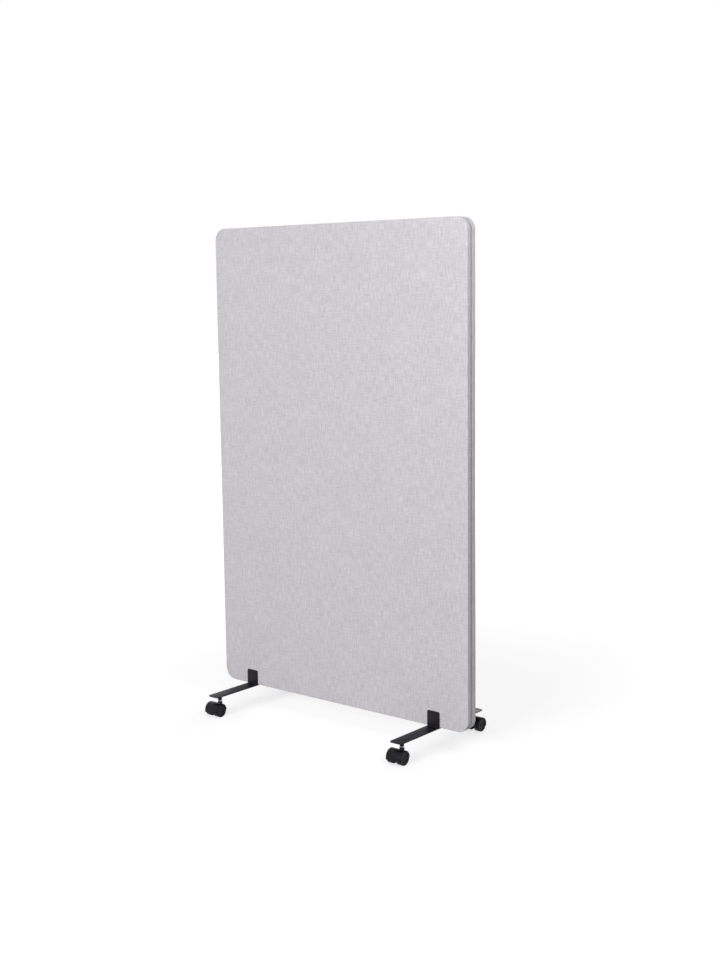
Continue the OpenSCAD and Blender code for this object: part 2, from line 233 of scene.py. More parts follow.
@dataclass(frozen=True)
class WovenFinish:
    """Plain-woven panel cloth of light grey melange yarn."""
    name: str = "woven_cover"
    light: Colour = (0.655, 0.640, 0.672)
    dark: Colour = (0.520, 0.506, 0.540)
    yarn: float = 1.15 * MM
    bend: float = 0.35
    bends: float = 45
    crown: float = 0.55
    dip: float = 0.3
    fleck: float = 7 * MM
    fleck_width: float = 1.25
    fleck_values: Range = (0.33, 0.67)
    fleck_tone: float = 0.25
    streak: tuple[float, float] = (30 * MM, 4.2 * MM)
    streak_values: Range = (0.58, 1.12)
    weft_streaks: float = 0.7
    clouds: float = 9
    cloud_tone: float = 0.09
    fuzz: float = 2600
    fuzz_height: float = 0.25
    roughness: Range = (0.86, 0.98)
    specular: float = 0.18
    sheen: float = 0.12
    sheen_roughness: float = 0.55
    depth: float = 0.16 * MM

    def build(self) -> bpy.types.Material:
        """Yarns over and under each other, with flecks and longer melange streaks.

        Returns:
            The material, which needs the cloth's flat shape as a UV map.
        """
        t = ShaderTree(self.name)
        flat = t.cloth_map("cloth")

        def both_ways(length: float, width: float,
                      **noise: float) -> list[bpy.types.NodeSocket]:
            """Blotches of that length and width along the warp, and the same along the weft."""
            return [t.noise(t.scaled(flat, *way, 1), 1, **noise)
                    for way in ((1 / width, 1 / length), (1 / length, 1 / width))]

        wander = t.spread(t.noise(flat, self.bends, detail=1), WHOLE, (-self.bend, self.bend))
        axes = t.node("SeparateXYZ", {0: flat}).outputs
        yarns = [t.math("ADD", t.math("DIVIDE", axes[i], self.yarn), wander) for i in (0, 1)]
        over = t.math("FLOORED_MODULO", t.math("ADD", *(t.math("FLOOR", y) for y in yarns)), 2.0)
        round_top = [t.math("ABSOLUTE", t.math("SINE", t.math("MULTIPLY", y, math.pi)))
                     for y in yarns]
        height = t.between(over, *(
            t.math("MULTIPLY", t.math("POWER", upper, self.crown), t.math("POWER", lower, self.dip))
            for upper, lower in (round_top, round_top[::-1])))
        flecks = t.between(over, *both_ways(
            self.fleck, self.fleck_width * self.yarn, roughness=0.6))
        warp_streaks, weft_streaks = both_ways(*self.streak, detail=1)
        streaks = t.math("ADD", warp_streaks, t.math("MULTIPLY", weft_streaks, self.weft_streaks))
        cloud = t.spread(t.noise(flat, self.clouds, detail=3), MOST,
                         (-self.cloud_tone, self.cloud_tone))
        shade = t.math("ADD", t.spread(streaks, self.streak_values), t.math("ADD", t.spread(
            flecks, self.fleck_values, (-self.fleck_tone, self.fleck_tone)), cloud))
        fuzz = t.noise(flat, self.fuzz)
        return t.finish({
            "Base Color": t.blend(t.spread(shade, WHOLE), self.light, self.dark),
            "Roughness": t.spread(fuzz, MOST, self.roughness),
            "Normal": t.relief(t.math("ADD", height, t.math(
                "MULTIPLY", fuzz, self.fuzz_height)), self.depth),
            "Specular IOR Level": self.specular,
            "Sheen Weight": self.sheen, "Sheen Roughness": self.sheen_roughness})


@dataclass(frozen=True)
class FoamFinish:
    """Open-cell upholstery foam, seen only where a cover is off."""
    name: str = "upholstery_foam"
    light: Colour = (0.83, 0.80, 0.70)
    dark: Colour = (0.72, 0.66, 0.50)
    cell: float = 1.4 * MM
    clouds: float = 30
    roughness: Range = (0.8, 1.0)
    depth: float = 0.4 * MM

    def build(self) -> bpy.types.Material:
        """Round cells with thin walls, in slightly uneven cream.

        Returns:
            The material.
        """
        t = ShaderTree(self.name)
        place = t.place()
        cells = t.node("TexVoronoi", {"Vector": place, "Scale": 1 / self.cell}).outputs[0]
        return t.finish({
            "Base Color": t.blend(t.spread(t.noise(place, self.clouds, detail=3), MOST),
                                  self.light, self.dark),
            "Roughness": t.spread(cells, WHOLE, self.roughness),
            "Normal": t.relief(cells, self.depth, 0.7)})


@dataclass(frozen=True)
class CoatedFinish:
    """Black paint or plastic with a fine skin: powder coat or moulded nylon."""
    name: str
    light: Colour
    dark: Colour
    grain: float
    depth: float
    roughness: Range
    specular: float
    patches: float = 40
    skin_roughness: Range = (-0.03, 0.03)

    def build(self) -> bpy.types.Material:
        """A fine skin with patches of uneven colour and gloss.

        Returns:
            The material.
        """
        t = ShaderTree(self.name)
        place = t.place()
        skin = t.noise(place, 1 / self.grain)
        patch = t.noise(place, self.patches, detail=3)
        return t.finish({
            "Base Color": t.blend(t.spread(patch, CORE), self.dark, self.light),
            "Roughness": t.math("ADD", t.spread(patch, MOST, self.roughness),
                                t.spread(skin, MOST, self.skin_roughness)),
            "Specular IOR Level": self.specular,
            "Normal": t.relief(skin, self.depth)})


@dataclass(frozen=True)
class MetalFinish:
    """Bare or plated metal with a turned or drawn surface."""
    name: str
    light: Colour
    dark: Colour
    roughness: Range
    streaks: tuple[float, float, float] = (400, 400, 1800)
    clouds: float = 220
    mixed_values: Range = (0.6, 1.4)
    depth: float = 0.02 * MM

    def build(self) -> bpy.types.Material:
        """Fine streaks across the length and cloudy plating.

        Returns:
            The material.
        """
        t = ShaderTree(self.name)
        place = t.place()
        streak = t.noise(t.scaled(place, *self.streaks), 1)
        cloud = t.noise(place, self.clouds, detail=3)
        return t.finish({
            "Base Color": t.blend(t.spread(cloud, MOST), self.light, self.dark),
            "Metallic": 1.0,
            "Roughness": t.spread(t.math("ADD", streak, cloud), self.mixed_values,
                                  self.roughness),
            "Normal": t.relief(streak, self.depth, 0.6)})


@dataclass(frozen=True)
class TimberFinish:
    """Planed softwood with growth rings and fine fibres."""
    name: str
    grain: Grain
    light: Colour = (0.66, 0.47, 0.27)
    dark: Colour = (0.44, 0.27, 0.13)
    along: float = 3
    across: float = 60
    fibres: float = 12
    fibre_tone: Range = (-0.2, 0.2)
    roughness: Range = (0.55, 0.75)
    depth: float = 0.1 * MM

    def build(self) -> bpy.types.Material:
        """Rings and fibres drawn out along the grain.

        Returns:
            The material.
        """
        t = ShaderTree(self.name)
        drawn = (self.along, self.across, self.across)
        grain = t.scaled(t.place(), *(drawn if self.grain is Grain.ACROSS else drawn[::-1]))
        rings = t.noise(grain, 1, detail=4, roughness=0.55)
        fibre = t.noise(t.scaled(grain, self.fibres, self.fibres, self.fibres), 1, detail=3)
        shade = t.math("ADD", t.spread(rings, MOST), t.spread(fibre, WHOLE, self.fibre_tone))
        return t.finish({
            "Base Color": t.blend(t.spread(shade, WHOLE), self.light, self.dark),
            "Roughness": t.spread(fibre, MOST, self.roughness),
            "Normal": t.relief(fibre, self.depth, 0.5)})


@dataclass(frozen=True)
class FibreFinish:
    """Pressed or felted fibres: hardboard or sound-absorbing felt."""
    name: str
    light: Colour
    dark: Colour
    fibre: float
    depth: float
    fineness: float = 4
    stretch: float = 0.35
    roughness: Range = (0.8, 0.95)

    def build(self) -> bpy.types.Material:
        """Two sizes of tangled fibre, with pale and dark flecks.

        Returns:
            The material.
        """
        t = ShaderTree(self.name)
        place = t.place()
        coarse = t.noise(place, 1 / self.fibre, detail=4, roughness=0.7)
        fine = t.noise(t.scaled(place, 1, self.stretch, 1), self.fineness / self.fibre,
                       detail=3, roughness=0.6)
        shade = t.math("MULTIPLY", t.math("ADD", coarse, fine), 0.5)
        return t.finish({
            "Base Color": t.blend(t.spread(shade, CORE), self.light, self.dark),
            "Roughness": t.spread(fine, MOST, self.roughness),
            "Normal": t.relief(fine, self.depth)})


@dataclass(frozen=True)
class FloorFinish:
    """White studio floor: the camera sees it white, apart from the shadow."""
    name: str = "studio_floor"
    colour: Colour = (0.42, 0.42, 0.425)
    specks: float = 3
    speck_tone: Range = (0.98, 1.0)
    glow: Range = (0.68, 1.0)
    reach: Range = (0.8, 4.0)

    def build(self) -> bpy.types.Material:
        """A pale floor that glows where it is seen or mirrored, and more so far off.

        Returns:
            The material.
        """
        t = ShaderTree(self.name)
        speck = t.spread(t.noise(t.place(), self.specks), WHOLE, self.speck_tone)
        tint = t.node("Mix", {0: 1.0, 6: self.colour, 7: speck}, data_type="RGBA",
                      blend_type="MULTIPLY").outputs[2]
        matt = t.node("BsdfDiffuse", {"Color": tint})
        away = t.node("VectorMath", {0: t.place()}, operation="LENGTH").outputs["Value"]
        glow = t.node("Emission", {"Strength": t.math("MULTIPLY", t.shown(), t.spread(
            away, self.reach, self.glow))})
        return t.end(t.node("AddShader", {0: matt.outputs[0], 1: glow.outputs[0]}))


class Finishes:
    """Every finish of the partition, each built once."""

    def __init__(self) -> None:
        """Builds the materials."""
        self.cloth = WovenFinish().build()
        self.foam = FoamFinish().build()
        self.paint = CoatedFinish(
            "powder_coat", light=(0.0068, 0.0055, 0.0105), dark=(0.0036, 0.003, 0.006),
            grain=1.1 * MM, depth=0.05 * MM, roughness=(0.30, 0.42), specular=0.19).build()
        self.hood = CoatedFinish(
            "hood_nylon", light=(0.0055, 0.0055, 0.0105), dark=(0.0035, 0.0035, 0.007),
            grain=0.5 * MM, depth=0.02 * MM, roughness=(0.26, 0.38), specular=0.165).build()
        self.wheel = CoatedFinish(
            "wheel_nylon", light=(0.0048, 0.0048, 0.009), dark=(0.003, 0.003, 0.0058),
            grain=0.7 * MM, depth=0.03 * MM, roughness=(0.36, 0.50), specular=0.15).build()
        self.zinc = MetalFinish("zinc_plate", light=(0.72, 0.73, 0.74), dark=(0.60, 0.62, 0.66),
                                roughness=(0.24, 0.42)).build()
        self.steel = MetalFinish("ground_steel", light=(0.60, 0.60, 0.60), dark=(0.48, 0.48, 0.49),
                                 roughness=(0.20, 0.34), streaks=(1800, 400, 400)).build()
        self.spring = MetalFinish("oiled_spring_steel", light=(0.16, 0.16, 0.17),
                                  dark=(0.09, 0.09, 0.10), roughness=(0.32, 0.48)).build()
        self.brass = MetalFinish("insert_brass", light=(0.78, 0.57, 0.24), dark=(0.66, 0.45, 0.18),
                                 roughness=(0.24, 0.40)).build()
        self.timber = {g: TimberFinish(f"timber_{g.value}", g).build() for g in Grain}
        self.dowel = TimberFinish("dowel_beech", Grain.ACROSS, light=(0.70, 0.50, 0.33),
                                  dark=(0.56, 0.36, 0.21)).build()
        self.board = FibreFinish("hardboard", light=(0.33, 0.20, 0.11), dark=(0.17, 0.095, 0.05),
                                 fibre=2.5 * MM, depth=0.08 * MM).build()
        self.felt = FibreFinish("acoustic_felt", light=(0.20, 0.23, 0.27),
                                dark=(0.075, 0.085, 0.105), fibre=6 * MM, depth=0.5 * MM).build()
        self.floor = FloorFinish().build()


# ---------------------------------------------------------------- the bench


def deselect() -> None:
    """Leaves nothing selected, so that an operator acts only on its own piece."""
    bpy.ops.object.select_all(action="DESELECT")


class Workpiece:
    """One piece on the bench, shaped as by hand, one operation after another."""

    def __init__(self, name: str) -> None:
        """Takes the object that was just added and sets its place in its mesh.

        Args:
            name: The piece's name.
        """
        self.obj = bpy.context.object
        self.obj.name = self.obj.data.name = name
        bpy.ops.object.transform_apply(location=True, rotation=True, scale=True)

    @classmethod
    def sewn(cls, name: str, mesh: bpy.types.Mesh) -> "Workpiece":
        """Takes a mesh that was made in code.

        Args:
            name: The piece's name.
            mesh: Its mesh, in place.

        Returns:
            The piece.
        """
        obj = bpy.data.objects.new(name, mesh)
        bpy.context.scene.collection.objects.link(obj)
        deselect()
        obj.select_set(True)
        bpy.context.view_layer.objects.active = obj
        return cls(name)

    @classmethod
    def block(cls, name: str, low: Vector, high: Vector) -> "Workpiece":
        """Saws a block of stock.

        Args:
            name: The piece's name.
            low: Its lowest corner on every axis.
            high: Its highest corner.

        Returns:
            The block.
        """
        deselect()
        bpy.ops.mesh.primitive_cube_add(size=1, location=(low + high) / 2, scale=high - low)
        return cls(name)

    @classmethod
    def rod(cls, name: str, radius: float, start: Vector, end: Vector,
            sides: int = 64) -> "Workpiece":
        """Cuts a length of round or many-sided bar.

        Args:
            name: The piece's name.
            radius: From the middle to a corner.
            start: The middle of one end.
            end: The middle of the other.
            sides: How many sides it has.

        Returns:
            The bar.
        """
        axis = end - start
        deselect()
        bpy.ops.mesh.primitive_cylinder_add(
            vertices=sides, radius=radius, depth=axis.length, location=(start + end) / 2,
            rotation=axis.to_track_quat("Z", "Y").to_euler())
        return cls(name)

    @classmethod
    def turned(cls, name: str, profile: Outline, origin: Vector, axis: Vector, across: Vector,
               steps: int = 64, sweep: float = 2 * math.pi) -> "Workpiece":
        """Turns a piece on the lathe: a profile drawn point by point, then spun.

        Args:
            name: The piece's name.
            profile: Pairs of radius and distance along the axis. A ring's
                profile ends at its first point.
            origin: The axis's own point where the distance is 0.
            axis: The direction of the axis.
            across: The direction in which the profile's radius is drawn.
            steps: Faces in the sweep.
            sweep: The angle that it is spun through, in radians.

        Returns:
            The turned piece, closed and with its faces outwards.
        """
        points = [origin + across * r + axis * a for r, a in profile]
        deselect()
        bpy.ops.mesh.primitive_plane_add(size=MM, location=points[0])
        piece = cls(name)
        with piece.editing():
            bpy.ops.mesh.select_mode(type="VERT")
            piece.all_selected()
            bpy.ops.mesh.merge(type="CENTER")
            for a, b in zip(points, points[1:]):
                bpy.ops.mesh.extrude_vertices_move(TRANSFORM_OT_translate={"value": b - a})
            piece.all_selected()
            bpy.ops.mesh.remove_doubles(threshold=WELD)
            piece.all_selected()
            bpy.ops.mesh.spin(steps=steps, angle=sweep, center=origin, axis=-axis)
            piece.all_selected()
            bpy.ops.mesh.remove_doubles(threshold=WELD)
            if sweep < 2 * math.pi:
                piece.all_selected()
                bpy.ops.mesh.fill_holes(sides=0)
            piece.all_selected()
            bpy.ops.mesh.normals_make_consistent(inside=False)
        return piece

    @contextmanager
    def editing(self) -> Iterator[None]:
        """Edit mode on this piece alone."""
        self.select()
        bpy.ops.object.mode_set(mode="EDIT")
        try:
            yield
        finally:
            bpy.ops.object.mode_set(mode="OBJECT")

    def select(self) -> None:
        """Makes this the one selected and active piece."""
        deselect()
        self.obj.select_set(True)
        bpy.context.view_layer.objects.active = self.obj

    def all_selected(self) -> None:
        """Selects the whole mesh in edit mode."""
        bpy.ops.mesh.select_all(action="SELECT")

    def pick(self, part: Part, test: Test) -> int:
        """Selects elements in edit mode by their place and direction.

        Args:
            part: Whether edges or faces are picked.
            test: Says yes to an element's middle and its direction, which is a
                face's normal or the line of an edge.

        Returns:
            How many were picked.
        """
        bpy.ops.mesh.select_mode(type=part.value)
        bpy.ops.mesh.select_all(action="DESELECT")
        mesh = bmesh.from_edit_mesh(self.obj.data)
        mesh.normal_update()
        found = 0
        for item in mesh.edges if part is Part.EDGES else mesh.faces:
            if part is Part.EDGES:
                start, end = (v.co for v in item.verts)
                middle, direction = (start + end) / 2, (end - start).normalized()
            else:
                middle, direction = item.calc_center_median(), item.normal
            if test(middle, direction):
                item.select_set(True)
                found += 1
        mesh.select_flush_mode()
        bmesh.update_edit_mesh(self.obj.data)
        return found

    def soften(self, test: Test, width: float, segments: int) -> None:
        """Rounds the edges that the test picks.

        Args:
            test: Says yes to an edge's middle and direction.
            width: How far the round reaches.
            segments: Faces in the round.
        """
        with self.editing():
            if self.pick(Part.EDGES, test):
                bpy.ops.mesh.bevel(offset=width, segments=segments, affect="EDGES")

    def modify(self, kind: str, **settings: object) -> None:
        """Adds one modifier and applies it.

        Args:
            kind: The modifier's type.
            **settings: Its settings.
        """
        self.select()
        modifier = self.obj.modifiers.new(kind.lower(), kind)
        for key, value in settings.items():
            setattr(modifier, key, value)
        bpy.ops.object.modifier_apply(modifier=modifier.name)

    def unite(self, other: "Workpiece") -> "Workpiece":
        """Joins another piece into this one as one solid."""
        return self.combine(other, "UNION")

    def cut(self, other: "Workpiece") -> "Workpiece":
        """Takes another piece's shape out of this one."""
        return self.combine(other, "DIFFERENCE")

    def combine(self, other: "Workpiece", operation: str) -> "Workpiece":
        """Combines this solid with another, which is used up.

        Args:
            other: The other solid.
            operation: UNION, DIFFERENCE or INTERSECT.

        Returns:
            This piece.
        """
        self.modify("BOOLEAN", object=other.obj, operation=operation, solver="EXACT")
        bpy.data.objects.remove(other.obj)
        return self

    def tidy(self) -> "Workpiece":
        """Merges doubled points and takes out faces without area.

        Returns:
            This piece.
        """
        with self.editing():
            self.all_selected()
            bpy.ops.mesh.remove_doubles(threshold=2 * WELD)
            bpy.ops.mesh.dissolve_degenerate(threshold=WELD)
        return self

    def copy(self, name: str, place: Matrix) -> "Workpiece":
        """Makes a copy with its own mesh, moved or mirrored.

        Args:
            name: The copy's name.
            place: The move, turn or mirror that takes the piece there.

        Returns:
            The copy.
        """
        mesh = self.obj.data.copy()
        mesh.transform(place)
        if place.determinant() < 0:
            mesh.flip_normals()
        return Workpiece.sewn(name, mesh)

    def scrap(self) -> None:
        """Throws the piece away."""
        bpy.data.objects.remove(self.obj)

    def hand_over(self, material: bpy.types.Material, slot: str, body: str,
                  *nodes: str, smooth: float = 35) -> bpy.types.Object:
        """Finishes the piece and hangs it on its body.

        Args:
            material: The finish.
            slot: The record's material slot. It is not used.
            body: The body that it rides on.
            *nodes: The CAD nodes that it stands for.
            smooth: Edges below this angle are shaded smooth, in degrees.

        Returns:
            The finished object.
        """
        self.select()
        bpy.ops.object.shade_smooth_by_angle(angle=math.radians(smooth))
        self.obj.data.materials.clear()
        self.obj.data.materials.append(material)
        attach(self.obj, body)
        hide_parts(*nodes)
        log.info("%s: %d faces on %s", self.obj.name, len(self.obj.data.polygons), body)
        return self.obj


def dress(node: str, material: bpy.types.Material) -> None:
    """Gives a CAD node that stays in view its finish.

    Args:
        node: The node's name.
        material: The finish.
    """
    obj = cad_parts[node]
    obj.data.materials.clear()
    obj.data.materials.append(material)
    log.info("%s: dressed in %s", node, material.name)


def arc(centre: tuple[float, float], radius: float, start: float, end: float,
        steps: int = 6) -> list[tuple[float, float]]:
    """Draws an arc of a profile.

    Args:
        centre: Its centre.
        radius: Its radius.
        start: The angle where it starts, in degrees.
        end: The angle where it ends.
        steps: How many lines it is drawn with.

    Returns:
        Its points.
    """
    turns = [math.radians(start + (end - start) * i / steps) for i in range(steps + 1)]
    return [(centre[0] + radius * math.cos(a), centre[1] + radius * math.sin(a))
            for a in turns]


# ---------------------------------------------------------------- the panel


@dataclass(frozen=True)
class Stretch:
    """How the cover's cloth gives while the padding pushes it out."""
    quality: int = 6
    mass: float = 0.3
    tension: float = 60
    shear: float = 30
    bending: float = 4
    pressure: float = 0.6
    ticks: int = 15

    def put_on(self, obj: bpy.types.Object, held: str) -> str:
        """Adds the cloth to a cover.

        Args:
            obj: The cover.
            held: The vertex group that can't move.

        Returns:
            The modifier's name.
        """
        cloth = obj.modifiers.new("cloth", "CLOTH")
        settings = cloth.settings
        settings.quality = self.quality
        settings.mass = self.mass
        settings.tension_stiffness = settings.compression_stiffness = self.tension
        settings.shear_stiffness = self.shear
        settings.bending_stiffness = self.bending
        settings.vertex_group_mass = held
        settings.use_pressure = True
        settings.uniform_pressure_force = self.pressure
        settings.effector_weights.gravity = 0
        return cloth.name


@dataclass
class Panel:
    """The upholstered panel: covers, padding, boards, core and timber frame."""
    finishes: Finishes
    stretch: Stretch = Stretch()
    width: float = 1000 * MM
    height: float = 1500 * MM
    half: float = PANEL_HALF
    corner: float = 38 * MM
    edge: float = 2 * MM
    groove: float = 9 * MM
    groove_depth: float = 7 * MM
    lip: float = 1.8 * MM
    hem_gap: float = 0.6 * MM
    hem_step: float = 2 * MM
    fabric: float = 0.8 * MM
    board_face: float = 13 * MM
    cover_gap: float = 0.08 * MM
    board_gap: float = 0.05 * MM
    face_slack: float = 0.05 * MM
    bottom: float = PANEL_BOTTOM
    cell: float = 20 * MM
    rings: tuple[float, ...] = (0.2, 0.42, 0.62, 0.78)
    corner_steps: int = 10
    swell: float = 0.7 * MM
    foam_lap: float = 0.4
    tab_half: float = 24 * MM
    tab_top: float = 50 * MM
    foot_x: float = FOOT_X
    screw_pitch: float = SCREW_PITCH
    screw_hole: float = 6.6 * MM
    lift: dict[int, float] = field(default_factory=dict)

    @property
    def flat_size(self) -> tuple[float, float]:
        """Width and height of the flat middle, inside the corners."""
        return self.width - 2 * self.corner, self.height - 2 * self.corner

    @property
    def cells(self) -> tuple[int, int]:
        """How many cells the flat middle has across and up."""
        wide, high = self.flat_size
        return round(wide / self.cell), round(high / self.cell)

    def section(self, inset: float) -> list[tuple[float, float]]:
        """Draws the section from the face round the padded edge into the groove.

        Args:
            inset: How far inside the cover's outer face it runs.

        Returns:
            Pairs of distance from the corner's centre and of depth.
        """
        r, h, g = self.corner, self.half, self.groove / 2
        points = [(r * share, h - inset) for share in self.rings]
        points += arc((r - self.edge, h - self.edge), self.edge - inset, 90, 0)
        points += [(r - inset, (h - self.edge + g + self.lip) / 2)]
        points += arc((r - self.lip, g + self.lip), self.lip - inset, 0, -90, 4)
        points += [(r - self.groove_depth + self.hem_step, g + inset),
                   (r - self.groove_depth, g + inset)]
        return points

    def stations(self) -> tuple[list[tuple[int, int]], list[tuple[float, float]]]:
        """Where the rings' points stand round the outline.

        Returns:
            The grid point that each is drawn out from, and its direction.
        """
        nx, nz = self.cells
        corners = [(nx, 0), (nx, nz), (0, nz), (0, 0)]
        steps = [(0, 1, nz), (-1, 0, nx), (0, -1, nz), (1, 0, nx)]
        roots: list[tuple[int, int]] = []
        ways: list[tuple[float, float]] = []
        for side, (start, (di, dj, count)) in enumerate(zip(corners, steps)):
            turn = math.radians(90 * side)
            way = (round(math.cos(turn)), round(math.sin(turn)))
            for k in range(count + 1):
                roots.append((start[0] + di * k, start[1] + dj * k))
                ways.append(way)
            for k in range(1, self.corner_steps):
                a = turn + math.pi / 2 * k / self.corner_steps
                roots.append(roots[-1])
                ways.append((math.cos(a), math.sin(a)))
        return roots, ways

    def half_mesh(self, name: str, section: Outline, closed: bool) -> Workpiece:
        """Makes a front half: a flat middle with rings drawn out from it.

        Args:
            name: The piece's name.
            section: Radius and depth of every ring.
            closed: Whether the last ring closes on a second flat middle.

        Returns:
            The piece, with the cloth's flat shape as a UV map.
        """
        nx, nz = self.cells
        wide, high = self.flat_size
        middle = self.bottom + self.height / 2
        spots = {(i, j): (-wide / 2 + wide * i / nx, -high / 2 + high * j / nz)
                 for i in range(nx + 1) for j in range(nz + 1)}
        index = {spot: k for k, spot in enumerate(spots)}
        flat = list(spots.values())
        points = [(x, -section[0][1], middle + z) for x, z in flat]
        faces = [(index[i, j], index[i + 1, j], index[i + 1, j + 1], index[i, j + 1])
                 for i in range(nx) for j in range(nz)]
        roots, ways = self.stations()

        def join(inner: list[int], outer: list[int]) -> None:
            """Adds the faces between two rings.

            Args:
                inner: The inner ring's points. Where two of them are one, the
                    face has three corners.
                outer: The outer ring's points.
            """
            for k in range(len(roots)):
                n = (k + 1) % len(roots)
                faces.append(tuple(dict.fromkeys((inner[k], outer[k], outer[n], inner[n]))))

        last = [index[root] for root in roots]
        run, before = 0.0, (0.0, section[0][1])
        for radius, depth in section:
            run += math.dist((radius, depth), before)
            before = (radius, depth)
            ring = list(range(len(points), len(points) + len(roots)))
            for root, (dx, dz) in zip(roots, ways):
                x, z = spots[root]
                points.append((x + dx * radius, -depth, middle + z + dz * radius))
                flat.append((x + dx * run, z + dz * run))
            join(last, ring)
            last = ring
        if closed:
            back = {spot: len(points) + k for spot, k in index.items()}
            points += [(x, -section[-1][1], middle + z) for x, z in spots.values()]
            flat += spots.values()
            faces += [(back[i, j], back[i, j + 1], back[i + 1, j + 1], back[i + 1, j])
                      for i in range(nx) for j in range(nz)]
            join(last, [back[root] for root in roots])
        mesh = bpy.data.meshes.new(name)
        mesh.from_pydata(points, [], faces)
        layer = mesh.uv_layers.new(name="cloth")
        for loop in mesh.loops:
            layer.data[loop.index].uv = flat[loop.vertex_index]
        return Workpiece.sewn(name, mesh)

    def held(self, point: Vector) -> bool:
        """Says where the cover can't swell: on its side, or under a foot's tab.

        Args:
            point: A point of the front cover.

        Returns:
            Whether it is held there.
        """
        off_face = -point.y < self.half - self.face_slack
        under_tab = (abs(abs(point.x) - self.foot_x) < self.tab_half
                     and point.z < self.bottom + self.tab_top)
        return off_face or under_tab

    def settle(self, cover: Workpiece) -> None:
        """Lets the padding push the stretched cover out, by cloth simulation.

        Args:
            cover: The front cover. Its face swells by less than the swell's cap.
        """
        obj = cover.obj
        rest = [v.co.copy() for v in obj.data.vertices]
        pins = [i for i, p in enumerate(rest) if self.held(p)]
        obj.vertex_groups.new(name="held").add(pins, 1.0, "REPLACE")
        cloth = self.stretch.put_on(obj, "held")
        for tick in range(1, self.stretch.ticks + 1):
            bpy.context.scene.frame_set(tick)
        cover.select()
        bpy.ops.object.modifier_apply(modifier=cloth)
        bpy.context.scene.frame_set(1)
        for i, (vertex, start) in enumerate(zip(obj.data.vertices, rest)):
            out = start.y - vertex.co.y
            self.lift[i] = self.swell * math.tanh(max(out, 0.0) / self.swell)
            vertex.co = start - Y * self.lift[i]
        log.info("cover swells by up to %.2f mm", max(self.lift.values()) / MM)

    def punch(self, cover: Workpiece) -> None:
        """Punches the holes for the foot screws through the cover's hem.

        Args:
            cover: The front cover.
        """
        for side in Side:
            for way in (-1, 1):
                low = Vector((side.sign * self.foot_x + way * self.screw_pitch / 2, 0,
                              self.bottom - MM))
                high = low + Z * (self.groove_depth + 3 * MM)
                cover.cut(Workpiece.rod("punch", self.screw_hole / 2, low, high, sides=32))

    def both(self, front: Workpiece, rear: str, material: bpy.types.Material, slot: str,
             node: str) -> Iterator[tuple[Row, bpy.types.Object]]:
        """Mirrors a front half to the rear, hands both over and yields their finished objects."""
        for row, piece in zip(Row, (front, front.copy(rear, Matrix.Scale(-1, 4, Y)))):
            yield row, piece.hand_over(material, slot, "root", f"{row.value}_{node}", smooth=180)

    def cover(self) -> None:
        """Makes both covers: wrapped round the edge and tucked into the groove."""
        tuck = self.corner - self.groove_depth
        section = self.section(0.0) + [(tuck, self.hem_gap / 2 + self.hem_step),
                                       (tuck, self.hem_gap / 2)]
        front = self.half_mesh("front_cover_cloth", section, False)
        self.settle(front)
        front.modify("SUBSURF", levels=1, render_levels=1)
        front.modify("SOLIDIFY", thickness=self.fabric, offset=-1)
        self.punch(front)
        run = sum(math.dist(a, b) for a, b in zip([(0.0, self.half)] + section, section))
        flat = tuple(size + 2 * run for size in self.flat_size)
        for row, obj in self.both(front, "rear_cover_cloth", self.finishes.cloth,
                                  "cover_fabric", "cover"):
            log.info("%s: cut %.0f x %.0f mm", obj.name, flat[0] / MM, flat[1] / MM)

    def padding(self) -> None:
        """Makes both foam pads, which follow the covers' swell from inside."""
        inset = self.fabric + self.cover_gap
        rim = self.corner - self.groove_depth - self.fabric
        back = self.board_face + self.board_gap
        section = self.section(inset)[:-2] + [
            (rim, self.groove / 2 + inset), (rim, back), (self.corner * self.foam_lap, back)]
        front = self.half_mesh("front_padding", section, True)
        for vertex in front.obj.data.vertices:
            if vertex.index in self.lift and -vertex.co.y > self.half - self.fabric - MM:
                vertex.co -= Y * self.lift[vertex.index]
        for _, obj in self.both(front, "rear_padding", self.finishes.foam, "foam", "foam"):
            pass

    def inside(self) -> None:
        """Dresses the pieces under the covers."""
        for end in ("top", "bottom"):
            dress(f"frame_{end}_rail", self.finishes.timber[Grain.ACROSS])
        for side in Side:
            dress(f"frame_{side.value}_stile", self.finishes.timber[Grain.UPRIGHT])
        dress("frame_dowels", self.finishes.dowel)
        dress("acoustic_core", self.finishes.felt)
        for row in Row:
            dress(f"{row.value}_board", self.finishes.board)

    def build(self) -> None:
        """Makes and dresses the whole panel."""
        self.cover()
        self.padding()
        self.inside()


# ---------------------------------------------------------------- the feet


